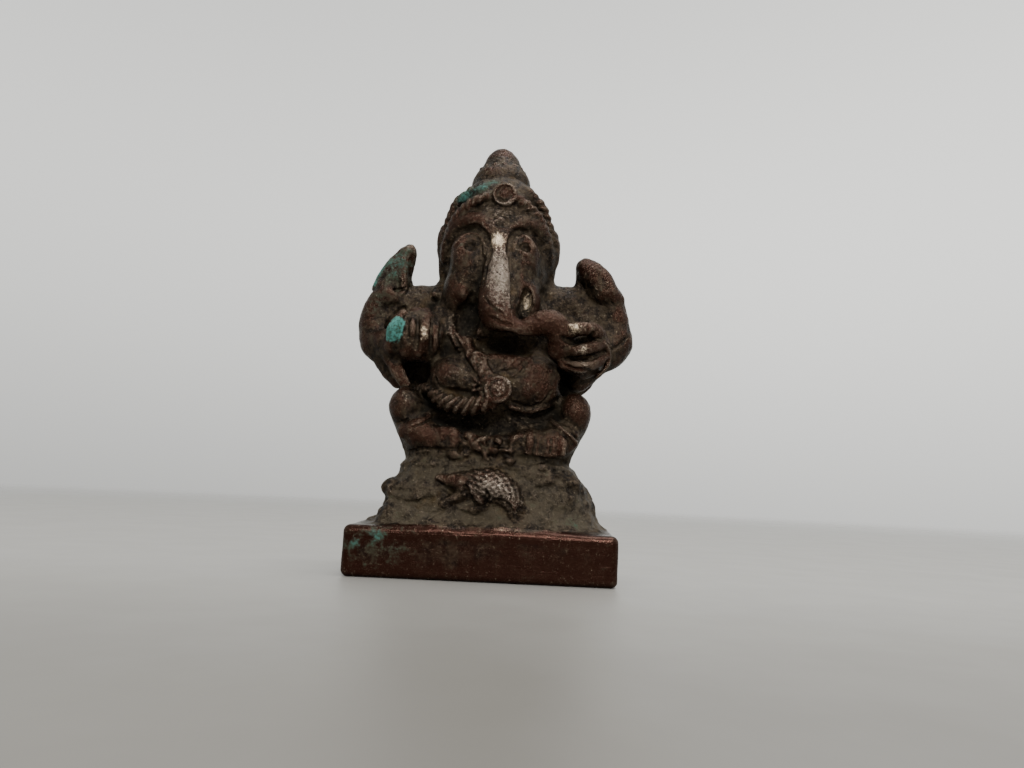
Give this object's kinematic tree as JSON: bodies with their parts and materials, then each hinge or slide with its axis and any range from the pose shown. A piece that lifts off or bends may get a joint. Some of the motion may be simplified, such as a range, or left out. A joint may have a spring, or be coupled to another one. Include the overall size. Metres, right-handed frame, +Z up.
{
  "type": "hindu deity statue",
  "caption": "Small solid cast copper-alloy figure of a seated four-armed elephant-headed deity on a rocky mound and rectangular plinth.",
  "frame": {"origin": "centre of the plinth's underside", "axes": "+Z up through the crown, the figure faces -Y, its own right hand is on the -X side"},
  "size_m": [0.046, 0.026, 0.072],
  "materials": {
    "aged_bronze": "dark brown cast patina with grey-green grime in the recesses",
    "filed_bronze": "dark red-brown patina over file marks",
    "worn_bronze": "brown patina rubbed bright on the high points",
    "green_bronze": "brown patina with patches of green corrosion"
  },
  "bodies": {
    "root": {"plinth": "filed_bronze", "rock_mound": "aged_bronze", "torso": "aged_bronze", "lap_cloth": "aged_bronze", "right_leg": "aged_bronze", "left_leg": "aged_bronze", "right_foot": "aged_bronze", "left_foot": "aged_bronze", "rat": "worn_bronze", "head": "aged_bronze", "diadem": "green_bronze", "crown_tier": "aged_bronze", "crown_finial": "aged_bronze", "crown_medallion": "aged_bronze", "trunk": "worn_bronze", "right_tusk_stub": "aged_bronze", "left_tusk": "worn_bronze", "right_brow": "aged_bronze", "left_brow": "aged_bronze", "right_eye": "aged_bronze", "left_eye": "aged_bronze", "right_hair_band": "aged_bronze", "left_hair_band": "aged_bronze", "right_ear": "aged_bronze", "left_ear": "aged_bronze", "axe_handle": "aged_bronze", "upper_right_arm": "aged_bronze", "upper_left_arm": "aged_bronze", "lower_right_arm": "aged_bronze", "lower_left_arm": "aged_bronze", "axe_blade": "green_bronze", "lotus_bud": "aged_bronze", "right_hand": "aged_bronze", "left_hand": "worn_bronze", "belt_medallion": "worn_bronze", "sacred_thread": "aged_bronze", "necklace": "aged_bronze", "snake_belt": "aged_bronze"}
  },
  "joints": []
}
